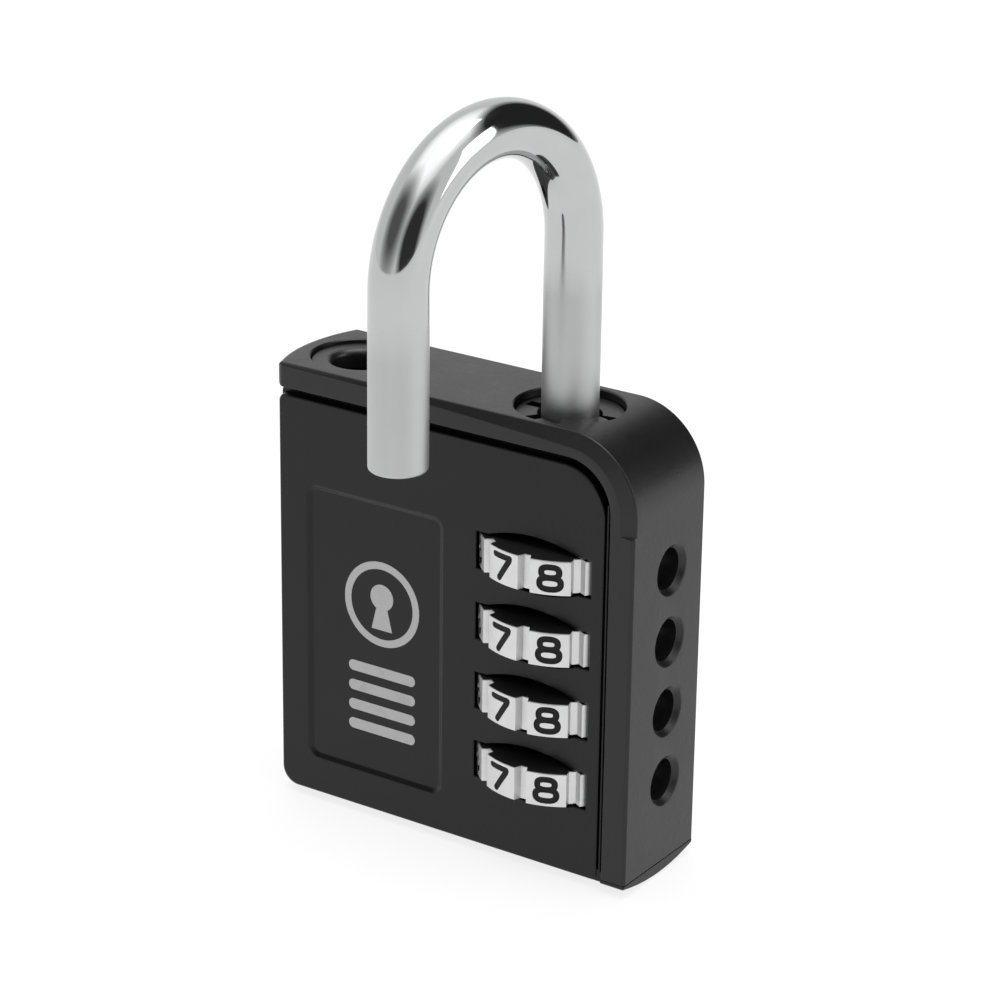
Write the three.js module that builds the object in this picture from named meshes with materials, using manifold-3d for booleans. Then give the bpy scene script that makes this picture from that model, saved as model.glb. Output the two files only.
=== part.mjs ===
// A four-dial combination padlock, open: the shackle is raised and swung to the front.
// Millimetres, +Z up, the front panel facing -Y. The pieces are drawn from the lower left front
// corner of the case, and the finished group is moved so that its origin is the crown of the bow,
// where the lock hangs.

import * as THREE from 'three';
import { mergeVertices } from 'three/addons/utils/BufferGeometryUtils.js';
import Module from 'manifold-3d';

const wasm = await Module();
wasm.setup();

// The case
const caseWidth = 45;
const caseDepth = 14;
const caseHeight = 49.5;
const cornerRadius = 8.2;
const footRadius = 2;
const sideBulge = 1.45;
const bottomBulge = 0.95;
const rimChamfer = 0.35;
const topRim = 2.75;
const sideRim = 2.9;
const rimFoot = 0.55;
const gap = 0.3;

// The two covers, the same from either side
const panelRecess = 0.45;
const panelBack = 1.95;
const topGroove = 0.95;
const sideGroove = 0.85;
const grooveDepth = 1.15;
const wallInside = 1.2;
const windowWidth = 14.2;
const windowHeight = 4.15;
const scoopWidth = 10.9;
const scoopRise = 1;
const labelRecess = { left: 4.1, right: 21.4, bottom: 4.5, top: 36, radius: 1.8, depth: 0.3 };

// The frame's web between the covers
const webFront = panelBack + gap;
const webBack = caseDepth - webFront;
const webSide = wallInside + gap;
const portDepth = 7.7;
const portRadius = 2.25;
const portMouth = 2.85;
const portChamfer = 0.65;

// The dials and their clutch sleeves, on the axis of the long leg
const axisX = 32.6;
const axisY = caseDepth / 2;
const topDial = 33.8;
const dialPitch = 8;
const dialRadius = 9.2;
const dialHeight = 3.8;
const digitCount = 10;
const landAngle = 27;
const valleyFloorAngle = 5;
const valleyDepth = 0.8;
const eightAngle = 22;
const dialBore = 4.95;
const notchRadius = 5.75;
const notchWidth = 1.3;
const pocketRadius = 9.6;
const pocketHeight = 4.4;
const sleeveRadius = 4.6;
const sleeveInside = 4.05;
const sleeveHeight = 7.7;
const toothTip = 5.4;
const toothWidth = 0.7;
const toothHeight = 3;
const flangeInside = 3.3;
const flangeHeight = 1.5;
const sleeveBore = 5.7;
const sleeveSlotWidth = 2.2;
const upperBore = 4.4;

// The shackle
const barRadius = 3;
const barSides = 24;
const legSpacing = 26.7;
const bendHeight = 67.8;
const tipHeight = 49.85;
const legEnd = 10;
const swingAngle = 84.2;
const finAngle = swingAngle + 30;
const finRadius = 3.75;
const finWidth = 1.6;
const finHeight = 1.5;
const finRise = 3;
const legEndChamfer = 0.4;
const tipChamfer = 0.6;
const clipGroove = { bottom: 45.1, top: 46.5, radius: 2.4 };
const clipSlot = [38.6, 46.2];
const clipMouth = 4;

// The lift spring, in the bore of the long leg, with its seat and its cap
const springBore = 2.1;
const springBoreTop = 24;
const seatTop = 2.6;
const sleeveSupport = 5.75;
const guidePin = { radius: 0.9, top: 9 };
const springWire = 0.2;
const springRadius = 1.6;
const springTurns = 11;
const springFoot = seatTop + gap + springWire;
const springHead = 22.5;
const capStem = { radius: 1.1, length: 1, chamfer: 0.3 };
const capRadius = 1.8;

// The guide bushings in the top face
const heelSeat = 5.85;
const toeSeat = 5.4;
const toePocket = { floor: 42.5, radius: 3.4 };
const bushingTop = 48.6;
const toeBushingTop = 49.05;
const bushingBottom = 46.9;
const bushingBore = 3.35;
const bushingNotch = { reach: 5.1, width: 1.3, angles: [180, 10, 236] };
const keyTab = { from: -68, to: -15, inside: 4.5 };

// The detent comb and the fasteners
const detentX = 19.8;
const detentThickness = 0.4;
const detentTip = axisX - dialRadius - gap;
const detentHalfWidth = 2;
const detentStrip = [5.4, 37.4];
const detentRecess = [5, 38];
const pinRadius = 1;
const pinHoleFloor = 0.9;
const pinPlaces = [[8, 7], [8, 36], [20, 43]];
const rivetRadius = 0.5;
const rivetHead = { radius: 1.1, height: 0.5 };
const rivetLength = 1.7;

const bendRadius = legSpacing / 2;
const toeX = axisX - legSpacing;
const dialHeights = Array.from({ length: 4 }, (_, i) => topDial - i * dialPitch);
const rivetHeights = [topDial - dialPitch * 0.6, topDial - dialPitch * 2.6];
const radians = THREE.MathUtils.degToRad;
const legAngle = radians(180 + swingAngle);
const acrossBow = new THREE.Vector3(Math.cos(legAngle), Math.sin(legAngle), 0);

function finish(color, roughness, metalness) {
  return new THREE.MeshStandardMaterial({ color, roughness, metalness });
}

const blackCoat = finish(0x1c1c1e, 0.55, 0);
const blackGloss = finish(0x0c0c0d, 0.3, 0);
const chrome = finish(0xd8d8da, 0.12, 1);
const brightDial = finish(0xc9c9cc, 0.3, 1);
const darkSteel = finish(0x2b2b2e, 0.45, 0.6);
const springSteel = finish(0x8d8d92, 0.35, 1);
const brass = finish(0xb08d4a, 0.4, 1);

// A closed geometry as a solid that can be joined and cut.
function solid(geometry) {
  const plain = geometry.clone();
  plain.deleteAttribute('normal');
  plain.deleteAttribute('uv');
  const merged = mergeVertices(plain, 1e-5);
  return new wasm.Manifold(new wasm.Mesh({
    numProp: 3,
    vertProperties: new Float32Array(merged.attributes.position.array),
    triVerts: new Uint32Array(merged.index.array),
  }));
}

const join = (...bodies) => bodies.reduce((sum, body) => sum.add(body));
const cut = (body, ...tools) => tools.reduce((rest, tool) => rest.subtract(tool), body);

// A finished solid as a named mesh.
function piece(name, body, material) {
  const { vertProperties, triVerts } = body.getMesh();
  const geometry = new THREE.BufferGeometry();
  geometry.setAttribute('position', new THREE.BufferAttribute(vertProperties, 3));
  geometry.setIndex(new THREE.BufferAttribute(triVerts, 1));
  geometry.computeVertexNormals();
  const mesh = new THREE.Mesh(geometry, material);
  mesh.name = name;
  return mesh;
}

function block([x0, x1], [y0, y1], [z0, z1]) {
  const box = new THREE.BoxGeometry(x1 - x0, y1 - y0, z1 - z0);
  return solid(box.translate((x0 + x1) / 2, (y0 + y1) / 2, (z0 + z1) / 2));
}

// A block that reaches out from the vertical axis of the long leg, at an angle from +X in degrees.
function spoke(angle, [r0, r1], width, [z0, z1]) {
  const box = new THREE.BoxGeometry(r1 - r0, width, z1 - z0);
  box.translate((r0 + r1) / 2, 0, (z0 + z1) / 2);
  return solid(box.rotateZ(radians(angle)).translate(axisX, axisY, 0));
}

// A flat shape drawn in x and z, as a plate between two depths.
function plate(shape, [y0, y1], curveSegments = 6) {
  const slab = new THREE.ExtrudeGeometry(shape, { depth: y1 - y0, bevelEnabled: false, curveSegments });
  return solid(slab.rotateX(Math.PI / 2).translate(0, y1, 0));
}

// A closed skin through convex rings that all have the same number of points.
function loft(rings) {
  const count = rings[0].length;
  const last = (rings.length - 1) * count;
  const index = [];
  for (let here = 0; here < last; here += count) {
    const beyond = here + count;
    for (let k = 0; k < count; k += 1) {
      const next = (k + 1) % count;
      index.push(here + k, here + next, beyond + next);
      index.push(here + k, beyond + next, beyond + k);
    }
  }
  for (let k = 1; k < count - 1; k += 1) {
    index.push(0, k + 1, k);
    index.push(last, last + k, last + k + 1);
  }
  const positions = rings.flat().flatMap((point) => point.toArray());
  const geometry = new THREE.BufferGeometry();
  geometry.setAttribute('position', new THREE.Float32BufferAttribute(positions, 3));
  geometry.setIndex(index);
  return geometry;
}

// A turned shape about the Z axis, from its [radius, height] steps, bottom to top.
function turned(steps, sides = 32) {
  return loft(steps.map(([radius, z]) => Array.from({ length: sides }, (_, k) => {
    const angle = (2 * Math.PI * k) / sides;
    return new THREE.Vector3(radius * Math.cos(angle), radius * Math.sin(angle), z);
  })));
}

function rod(x, y, [z0, z1], radius, sides = 32) {
  return solid(turned([[radius, z0], [radius, z1]], sides).translate(x, y, 0));
}

function tube(x, y, [z0, z1], outer, inner, sides = 32) {
  return cut(rod(x, y, [z0, z1], outer, sides), rod(x, y, [z0 - 1, z1 + 1], inner, sides));
}

function rodAlongX(y, z, [x0, x1], radius, sides = 12) {
  return solid(turned([[radius, x0], [radius, x1]], sides).rotateY(Math.PI / 2).translate(0, y, z));
}

function rodAlongY(x, z, [y0, y1], radius, sides = 16) {
  return solid(turned([[radius, -y1], [radius, -y0]], sides).rotateX(Math.PI / 2).translate(x, 0, z));
}

// The outline of the whole case at one depth. The left and bottom sides bulge at mid depth, and a
// small chamfer runs round the front and back edges.
function caseRing(depth) {
  const fromFace = Math.min(depth, caseDepth - depth);
  const inset = Math.max(0, rimChamfer - fromFace);
  const bulge = 1 - ((depth - axisY) / axisY) ** 2;
  const left = inset - sideBulge * bulge;
  const bottom = inset - bottomBulge * bulge;
  const arcX = caseWidth - cornerRadius;
  const arcZ = caseHeight - cornerRadius;
  const outline = new THREE.Path();
  outline.moveTo(left + footRadius, bottom);
  outline.lineTo(caseWidth - inset, bottom);
  outline.absarc(arcX, arcZ, cornerRadius - inset, 0, Math.PI / 2);
  outline.lineTo(left, caseHeight - inset);
  outline.absarc(left + footRadius, bottom + footRadius, footRadius, Math.PI, 1.5 * Math.PI);
  const points = outline.getPoints(5);
  points.pop();
  return points.map(({ x, y }) => new THREE.Vector3(x, depth, y));
}

const nearFace = [5.5, 4, 2, rimChamfer, 0];
const farFace = nearFace.map((depth) => caseDepth - depth).reverse();
const caseEnvelope = solid(loft([...farFace, axisY, ...nearFace].map(caseRing)));

// The opening that the frame's L-shaped rim leaves for a cover, less a margin. It runs out past the
// left and bottom sides of the case.
function coverShape(topMargin, sideMargin) {
  const outside = -10;
  const right = caseWidth - sideRim - sideMargin;
  const top = caseHeight - topRim - topMargin;
  const radius = cornerRadius - sideRim;
  const shape = new THREE.Shape();
  shape.moveTo(outside, outside);
  shape.lineTo(right, outside);
  shape.absarc(right - radius, top - radius, radius, 0, Math.PI / 2);
  shape.lineTo(outside, top);
  return shape;
}

function roundedRectangle({ left, right, bottom, top, radius }) {
  const shape = new THREE.Shape();
  shape.moveTo(left + radius, bottom);
  shape.absarc(right - radius, bottom + radius, radius, -Math.PI / 2, 0);
  shape.absarc(right - radius, top - radius, radius, 0, Math.PI / 2);
  shape.absarc(left + radius, top - radius, radius, Math.PI / 2, Math.PI);
  shape.absarc(left + radius, bottom + radius, radius, Math.PI, 1.5 * Math.PI);
  return shape;
}

// The opening in a cover at one dial: a rectangle with a shallow eye-shaped scoop above and below,
// and the round relief that the dial's rim turns in.
function dialWindow(z, depths) {
  const half = scoopWidth / 2;
  const edge = windowHeight / 2;
  const radius = (half ** 2 + scoopRise ** 2) / (2 * scoopRise);
  const sweep = Math.asin(half / radius);
  const eye = new THREE.Shape();
  eye.absarc(axisX, z + edge + scoopRise - radius, radius, Math.PI / 2 - sweep, Math.PI / 2 + sweep);
  eye.absarc(axisX, z - edge - scoopRise + radius, radius, 1.5 * Math.PI - sweep, 1.5 * Math.PI + sweep);
  const side = windowWidth / 2;
  const opening = block([axisX - side, axisX + side], depths, [z - edge, z + edge]);
  return join(plate(eye, depths, 4), opening, rod(axisX, axisY, [z - edge, z + edge], pocketRadius));
}

// A cover is a plate set into the rim, with its half of the bulging left and bottom walls. The bottom
// wall runs on under the end of the frame's right side.
function cover(isFront) {
  const span = ([near, far]) => (isFront ? [near, far] : [caseDepth - far, caseDepth - near]);
  const parting = axisY - gap / 2;
  const outerLayer = plate(coverShape(topGroove, sideGroove), span([panelRecess, parting]));
  const innerLayer = plate(coverShape(gap, gap), span([panelRecess + grooveDepth, parting]));
  const underRim = block([webSide, caseWidth + 1], span([panelRecess, parting]), [-5, rimFoot - gap]);
  const shell = join(outerLayer, innerLayer, underRim).intersect(caseEnvelope);
  const inside = span([panelBack, axisY + 1]);
  const hollow = block([wallInside, caseWidth + 1], inside, [wallInside, caseHeight]);
  const windows = dialHeights.map((z) => dialWindow(z, span([-1, panelBack + 1])));
  const holeDepths = span([pinHoleFloor, panelBack + 1]);
  const pinHoles = pinPlaces.map(([x, z]) => rodAlongY(x, z, holeDepths, pinRadius + gap));
  const body = cut(shell, hollow, ...windows, ...pinHoles);
  if (!isFront) return body;
  const labelFloor = panelRecess + labelRecess.depth;
  return cut(body, plate(roundedRectangle(labelRecess), [-1, labelFloor], 3));
}

// A side port: a bore through to the dial, with a chamfered mouth.
function sidePort(z) {
  const overrun = 0.1;
  const flare = portMouth + (overrun * (portMouth - portRadius)) / portChamfer;
  const outside = caseWidth + overrun;
  const steps = [[portRadius, axisX + 6], [portRadius, caseWidth - portChamfer], [flare, outside]];
  return solid(turned(steps, 20).rotateY(Math.PI / 2).translate(0, portDepth, z));
}

// The tab that reaches in over the heel seat from the front right, and keys the bushing.
function keyTabShape(inside, margin) {
  const shape = new THREE.Shape();
  const from = radians(keyTab.from - margin);
  const to = radians(keyTab.to + margin);
  shape.absarc(axisX, axisY, heelSeat + 1, from, to);
  shape.absarc(axisX, axisY, inside, to, from, true);
  return shape;
}

function keyTabBody(inside, margin, [z0, z1]) {
  const slab = new THREE.ExtrudeGeometry(keyTabShape(inside, margin), {
    depth: z1 - z0,
    bevelEnabled: false,
    curveSegments: 3,
  });
  return solid(slab.translate(0, 0, z0));
}

// The frame: the L-shaped rim along the top and the right side, cast in one with the web that carries
// the dials. The dial slots and the clip's slot are open to the back, where those pieces go in.
function caseFrame() {
  const throughCase = [-1, caseDepth + 1];
  const behindWeb = webBack + 1;
  const rim = cut(caseEnvelope, plate(coverShape(0, 0), throughCase),
    block([-10, caseWidth + 10], throughCase, [-5, rimFoot]));
  const webWidth = [webSide, caseWidth - sideRim + 0.4];
  const web = block(webWidth, [webFront, webBack], [webSide, caseHeight - 2]).intersect(caseEnvelope);
  const dialSlots = dialHeights.map((z) => {
    const span = [z - pocketHeight / 2, z + pocketHeight / 2];
    const wayIn = [axisX - pocketRadius, caseWidth - sideRim];
    return join(rod(axisX, axisY, span, pocketRadius), block(wayIn, [axisY, behindWeb], span));
  });
  const seatFloor = bushingBottom - gap;
  const heelRecess = cut(rod(axisX, axisY, [seatFloor, caseHeight + 5], heelSeat),
    keyTabBody(keyTab.inside, 0, [seatFloor - 1, caseHeight + 6]));
  return cut(join(rim, web), ...dialSlots, ...dialHeights.map(sidePort), heelRecess,
    rod(axisX, axisY, [0, topDial + sleeveHeight / 2 + gap], sleeveBore),
    rod(axisX, axisY, [legEnd, seatFloor + 1], upperBore),
    block([axisX - upperBore, axisX + upperBore], [axisY, behindWeb], clipSlot),
    rod(toeX, axisY, [toePocket.floor, caseHeight], toePocket.radius),
    rod(toeX, axisY, [seatFloor, caseHeight + 5], toeSeat),
    block([detentX - gap, axisX - pocketRadius + 0.7], [axisY - 3, behindWeb], detentRecess),
    ...rivetHeights.map((z) => rodAlongX(axisY, z, [detentX - 2, detentX], rivetRadius + gap)),
    ...pinPlaces.map(([x, z]) => rodAlongY(x, z, [0, caseDepth], pinRadius + gap)));
}

// The heel bushing is slotted for the fins, and its rim is cut away round the key tab.
function heelBushing() {
  const { reach, width, angles } = bushingNotch;
  const through = [bushingBottom - 1, bushingTop + 1];
  const sideways = 4;
  const disc = tube(axisX, axisY, [bushingBottom, bushingTop], heelSeat - gap, bushingBore);
  const notches = angles.map((angle) => spoke(angle, [2, reach], width, through));
  return cut(disc, ...notches, keyTabBody(keyTab.inside - gap, sideways, through));
}

function toeBushing() {
  return tube(toeX, axisY, [bushingBottom, toeBushingTop], toeSeat - gap, bushingBore);
}

// The shackle: one bent bar, with a clip groove, a spring bore and four fins on its long leg.
function shackle() {
  const up = new THREE.Vector3(0, 0, 1);
  const side = up.clone().cross(acrossBow);
  const station = (radius, turn, drop) => {
    const across = acrossBow.clone().multiplyScalar(Math.cos(turn)).addScaledVector(up, -Math.sin(turn));
    const centre = new THREE.Vector3(axisX, axisY, bendHeight - drop)
      .addScaledVector(acrossBow, bendRadius * (1 - Math.cos(turn)))
      .addScaledVector(up, bendRadius * Math.sin(turn));
    return Array.from({ length: barSides }, (_, k) => {
      const angle = (2 * Math.PI * k) / barSides;
      return centre.clone()
        .addScaledVector(across, radius * Math.cos(angle))
        .addScaledVector(side, radius * Math.sin(angle));
    });
  };
  const longLeg = [[barRadius - legEndChamfer, legEnd], [barRadius, legEnd + legEndChamfer],
    [barRadius, clipGroove.bottom], [clipGroove.radius, clipGroove.bottom],
    [clipGroove.radius, clipGroove.top], [barRadius, clipGroove.top]];
  const shortLeg = [[barRadius, tipHeight + tipChamfer], [barRadius - tipChamfer, tipHeight]];
  const bendSteps = 20;
  const bar = solid(loft([
    ...longLeg.map(([radius, z]) => station(radius, 0, bendHeight - z)),
    ...Array.from({ length: bendSteps + 1 }, (_, i) => station(barRadius, (Math.PI * i) / bendSteps, 0)),
    ...shortLeg.map(([radius, z]) => station(radius, Math.PI, bendHeight - z)),
  ]));
  const fins = dialHeights.map((z) => {
    const span = [z + finRise - finHeight / 2, z + finRise + finHeight / 2];
    return spoke(finAngle, [barRadius - 0.5, finRadius], finWidth, span);
  });
  return cut(join(bar, ...fins), rod(axisX, axisY, [legEnd - 1, springBoreTop], springBore, 24));
}

// The direction of a digit's middle on its dial, from +X in degrees.
const digitAngle = (digit) => eightAngle - 90 + ((digit - 8) * 360) / digitCount;
const everyDigit = Array.from({ length: digitCount }, (_, digit) => digitAngle(digit));

// A dial: ten raised lands with a slant-sided valley between each two, and ten notches in its bore.
function dial(z) {
  const outline = new THREE.Shape();
  const valleyRadius = dialRadius - valleyDepth;
  everyDigit.forEach((angle) => {
    const nextValley = angle + 180 / digitCount;
    outline.absarc(0, 0, dialRadius, radians(angle - landAngle / 2), radians(angle + landAngle / 2));
    [-1, 1].forEach((end) => {
      const corner = radians(nextValley + (end * valleyFloorAngle) / 2);
      outline.lineTo(valleyRadius * Math.cos(corner), valleyRadius * Math.sin(corner));
    });
  });
  const slab = new THREE.ExtrudeGeometry(outline, {
    depth: dialHeight,
    bevelEnabled: false,
    curveSegments: 2,
  });
  const wheel = solid(slab.translate(axisX, axisY, z - dialHeight / 2));
  const span = [z - dialHeight, z + dialHeight];
  const notches = everyDigit.map((angle) => spoke(angle, [dialBore - 1, notchRadius], notchWidth, span));
  return cut(wheel, rod(axisX, axisY, span, dialBore), ...notches);
}

// A clutch sleeve: a tube with a slotted inner flange that the shackle's fin passes only where the
// slot is, and ten outer teeth that sit in the dial's notches.
function clutchSleeve(z) {
  const half = sleeveHeight / 2;
  const flange = [z - flangeHeight / 2, z + flangeHeight / 2];
  const toothSpan = [z - toothHeight / 2, z + toothHeight / 2];
  const reach = [sleeveInside + 0.3, toothTip];
  const teeth = everyDigit.map((angle) => spoke(angle, reach, toothWidth, toothSpan));
  const barrel = tube(axisX, axisY, [z - half, z + half], sleeveRadius, sleeveInside);
  const ring = tube(axisX, axisY, flange, sleeveInside + 0.2, flangeInside);
  const slot = spoke(finAngle, [2, sleeveInside], sleeveSlotWidth, [z - flangeHeight, z + flangeHeight]);
  return cut(join(barrel, ring, ...teeth), slot);
}

// The clip stays put as the shackle turns in it, and rises and falls with it.
function retainingClip() {
  const span = [clipGroove.bottom + gap, clipGroove.top - gap];
  const opening = [axisX - clipMouth / 2, axisX + clipMouth / 2];
  const mouth = block(opening, [axisY, axisY + upperBore + 1], [span[0] - 1, span[1] + 1]);
  return cut(tube(axisX, axisY, span, upperBore - gap, clipGroove.radius + gap), mouth);
}

// The spring stands in the leg's bore, round the pin of its seat.
function springSeat() {
  const base = rod(axisX, axisY, [webSide + 0.1, seatTop], sleeveBore - gap);
  const flats = block([axisX - 10, axisX + 10], [webFront + 0.1, webBack - 0.1], [0, seatTop + 1]);
  const support = tube(axisX, axisY, [seatTop - 0.2, sleeveSupport], sleeveRadius - 0.1, barRadius + 0.5);
  const pin = rod(axisX, axisY, [seatTop - 0.2, guidePin.top], guidePin.radius, 20);
  return join(base.intersect(flats), support, pin);
}

function springCap() {
  const { radius, length, chamfer } = capStem;
  const underside = springHead + springWire + gap;
  const stemFoot = underside - length;
  const steps = [[radius - chamfer, stemFoot], [radius, stemFoot + chamfer], [radius, underside],
    [capRadius, underside], [capRadius, springBoreTop - gap]];
  return solid(turned(steps, 24).translate(axisX, axisY, 0));
}

class Coil extends THREE.Curve {
  getPoint(t, target = new THREE.Vector3()) {
    const angle = 2 * Math.PI * springTurns * t;
    const z = springFoot + (springHead - springFoot) * t;
    return target.set(axisX + springRadius * Math.cos(angle), axisY + springRadius * Math.sin(angle), z);
  }
}

function liftSpring() {
  const wire = new THREE.Shape();
  wire.absarc(0, 0, springWire, 0, 2 * Math.PI);
  return solid(new THREE.ExtrudeGeometry(wire, {
    steps: springTurns * 10,
    curveSegments: 3,
    extrudePath: new Coil(),
  }));
}

// The detent comb: a strip of spring steel with one leaf for each dial, bent out almost to its rim.
function detentSpring() {
  const depths = [axisY - detentHalfWidth, axisY + detentHalfWidth];
  const strip = block([detentX, detentX + detentThickness], depths, detentStrip);
  const leaves = dialHeights.map((z) => {
    const leaf = new THREE.Shape();
    leaf.moveTo(detentX + 0.1, z - 2.6);
    leaf.lineTo(detentX + 0.6, z - 2.6);
    leaf.lineTo(detentTip, z);
    leaf.lineTo(detentTip - 0.7, z + 1.5);
    leaf.lineTo(detentTip - 1.1, z + 1.3);
    leaf.lineTo(detentTip - 0.5, z);
    return plate(leaf, depths);
  });
  const holes = rivetHeights.map((z) => rodAlongX(axisY, z, [detentX - 1, detentX + 2], rivetRadius + gap));
  return cut(join(strip, ...leaves), ...holes);
}

function detentRivet(z) {
  const head = detentX + detentThickness + gap;
  const shank = rodAlongX(axisY, z, [detentX - rivetLength, head + 0.1], rivetRadius);
  return join(shank, rodAlongX(axisY, z, [head, head + rivetHead.height], rivetHead.radius));
}

const lock = new THREE.Group();
lock.add(
  piece('case_frame', caseFrame(), blackCoat),
  piece('front_cover', cover(true), blackGloss),
  piece('back_cover', cover(false), blackGloss),
  piece('heel_guide_bushing', heelBushing(), darkSteel),
  piece('toe_guide_bushing', toeBushing(), darkSteel),
  piece('shackle', shackle(), chrome),
  piece('retaining_clip', retainingClip(), springSteel),
  piece('lift_spring', liftSpring(), springSteel),
  piece('spring_cap', springCap(), brass),
  piece('spring_seat', springSeat(), brass),
  piece('detent_spring', detentSpring(), springSteel),
);
rivetHeights.forEach((z, i) => {
  lock.add(piece(`detent_rivet_${i + 1}`, detentRivet(z), darkSteel));
});
pinPlaces.forEach(([x, z], i) => {
  const pin = rodAlongY(x, z, [pinHoleFloor + gap, caseDepth - pinHoleFloor - gap], pinRadius);
  lock.add(piece(`cover_pin_${i + 1}`, pin, darkSteel));
});
dialHeights.forEach((z, i) => {
  lock.add(piece(`dial_${i + 1}`, dial(z), brightDial));
  lock.add(piece(`clutch_sleeve_${i + 1}`, clutchSleeve(z), brass));
});

// The crown of the bow, inside, where a staple carries the lock.
const crown = acrossBow.clone().multiplyScalar(bendRadius);
crown.add(new THREE.Vector3(axisX, axisY, bendHeight + bendRadius - barRadius));
lock.position.copy(crown).negate();

const model = new THREE.Group();
model.add(lock);

export default model;
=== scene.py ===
"""A four-dial combination padlock, open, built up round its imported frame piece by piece."""
import math

import bmesh
import bpy
from mathutils import Matrix, Vector
from mathutils.geometry import delaunay_2d_cdt


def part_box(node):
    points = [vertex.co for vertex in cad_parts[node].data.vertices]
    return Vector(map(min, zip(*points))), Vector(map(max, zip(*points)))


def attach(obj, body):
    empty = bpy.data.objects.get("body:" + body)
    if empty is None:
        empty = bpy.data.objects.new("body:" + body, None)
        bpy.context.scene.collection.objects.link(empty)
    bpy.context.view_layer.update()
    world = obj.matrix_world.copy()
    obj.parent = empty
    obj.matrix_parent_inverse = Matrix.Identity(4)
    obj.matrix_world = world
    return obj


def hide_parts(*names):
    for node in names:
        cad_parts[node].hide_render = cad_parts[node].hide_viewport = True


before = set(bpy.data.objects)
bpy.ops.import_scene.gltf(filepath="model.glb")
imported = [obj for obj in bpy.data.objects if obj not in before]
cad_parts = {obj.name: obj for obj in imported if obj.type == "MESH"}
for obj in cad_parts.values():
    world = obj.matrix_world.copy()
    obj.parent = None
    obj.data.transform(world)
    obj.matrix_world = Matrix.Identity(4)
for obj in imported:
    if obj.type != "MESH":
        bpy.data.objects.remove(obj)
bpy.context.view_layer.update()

# ---------------------------------------------------------------------------------------------
# The studio: a camera on a long lens above the right shoulder of the lock, a pale floor that runs
# out of sight, two soft boxes, and a room for the chrome to mirror. The room has a white ceiling, a
# grey horizon and three dark gaps between its lamps.
# ---------------------------------------------------------------------------------------------
MM = 0.001
CASE_WIDTH, CASE_DEPTH, CASE_HEIGHT = 45, 14, 49.5
MIDDLE = CASE_DEPTH / 2
frame_low, frame_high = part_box("case_frame")
corner = Vector((frame_high.x - CASE_WIDTH * MM, frame_low.y, frame_high.z - CASE_HEIGHT * MM))


def at(x, y, z):
    """A place given in millimetres from the lower left front corner of the case."""
    return corner + Vector((x, y, z)) * MM


CAMERA_PLACE = (207.12, -266.4, 164.94)
CAMERA_AZIMUTH, CAMERA_ELEVATION, CAMERA_ROLL = map(math.radians, (33.953, 21.117, 0.751))
SENSOR, FOCAL_LENGTH = 36, 122.37
NEAREST, FARTHEST = 0.02, 20

lens = bpy.data.cameras.new("camera")
lens.sensor_width = SENSOR
lens.lens = FOCAL_LENGTH
lens.clip_start, lens.clip_end = NEAREST, FARTHEST
camera = bpy.data.objects.new("camera", lens)
camera.rotation_euler = (
    Matrix.Rotation(CAMERA_AZIMUTH, 3, "Z")
    @ Matrix.Rotation(math.pi / 2 - CAMERA_ELEVATION, 3, "X")
    @ Matrix.Rotation(CAMERA_ROLL, 3, "Z")
).to_euler()
camera.location = at(*CAMERA_PLACE)
bpy.context.scene.collection.objects.link(camera)
bpy.context.scene.camera = camera
bpy.context.scene.view_settings.view_transform = "Standard"


class Wire:
    """A shader socket. Sums and products of wires and numbers add Math nodes."""

    def __init__(self, tree, socket=None):
        self.tree = tree
        self.socket = socket

    def node(self, kind, settings=None, inputs=None, output=0):
        """Adds a node: its settings first, then the values or wires of its sockets."""
        made = self.tree.nodes.new("ShaderNode" + kind)
        for name, value in (settings or {}).items():
            setattr(made, name, value)
        for name, value in (inputs or {}).items():
            if isinstance(value, Wire):
                self.tree.links.new(value.socket, made.inputs[name])
            else:
                made.inputs[name].default_value = value
        return Wire(self.tree, made.outputs[output])

    def math(self, operation, *values):
        return self.node("Math", {"operation": operation}, dict(enumerate(values)))

    def __add__(self, other):
        return self.math("ADD", self, other)

    def __sub__(self, other):
        return self.math("SUBTRACT", self, other)

    def __rsub__(self, other):
        return self.math("SUBTRACT", other, self)

    def __mul__(self, other):
        return self.math("MULTIPLY", self, other)

    def clamped(self, top=1):
        """This wire held between 0 and top."""
        return self.math("MINIMUM", self.math("MAXIMUM", self, 0), top)

    def part(self, axis):
        """One of x, y and z, as 0, 1 or 2."""
        return self.node("SeparateXYZ", inputs={"Vector": self}, output=axis)

    def noise(self, scale, detail=3, stretch=(1, 1, 1)):
        """Noise on this place, a number of cells to the metre, squeezed along the axes."""
        place = self.node("VectorMath", {"operation": "MULTIPLY"}, {0: self, 1: stretch})
        return self.node("TexNoise", None, {"Vector": place, "Scale": scale, "Detail": detail})

    def mixed(self, low, high):
        """A colour between two, with this wire as the mask."""
        inputs = {0: self, 6: (*low, 1), 7: (*high, 1)}
        return self.node("Mix", {"data_type": "RGBA"}, inputs, output=2)

    def bump(self, distance, strength=1.0):
        inputs = {"Height": self, "Distance": distance, "Strength": strength}
        return self.node("Bump", None, inputs)

    __radd__ = __add__
    __rmul__ = __mul__


def material(name, paint, **constants):
    """A material. Constants go on the shader's own sockets, and paint(place) gives the wires."""
    made = bpy.data.materials.new(name)
    made.use_nodes = True
    tree = made.node_tree
    shader = tree.nodes["Principled BSDF"]
    for socket, value in constants.items():
        shader.inputs[socket.replace("_", " ")].default_value = value
    place = Wire(tree).node("TexCoord", output=3)
    for socket, wire in paint(place).items():
        tree.links.new(wire.socket, shader.inputs[socket])
    return made


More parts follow.
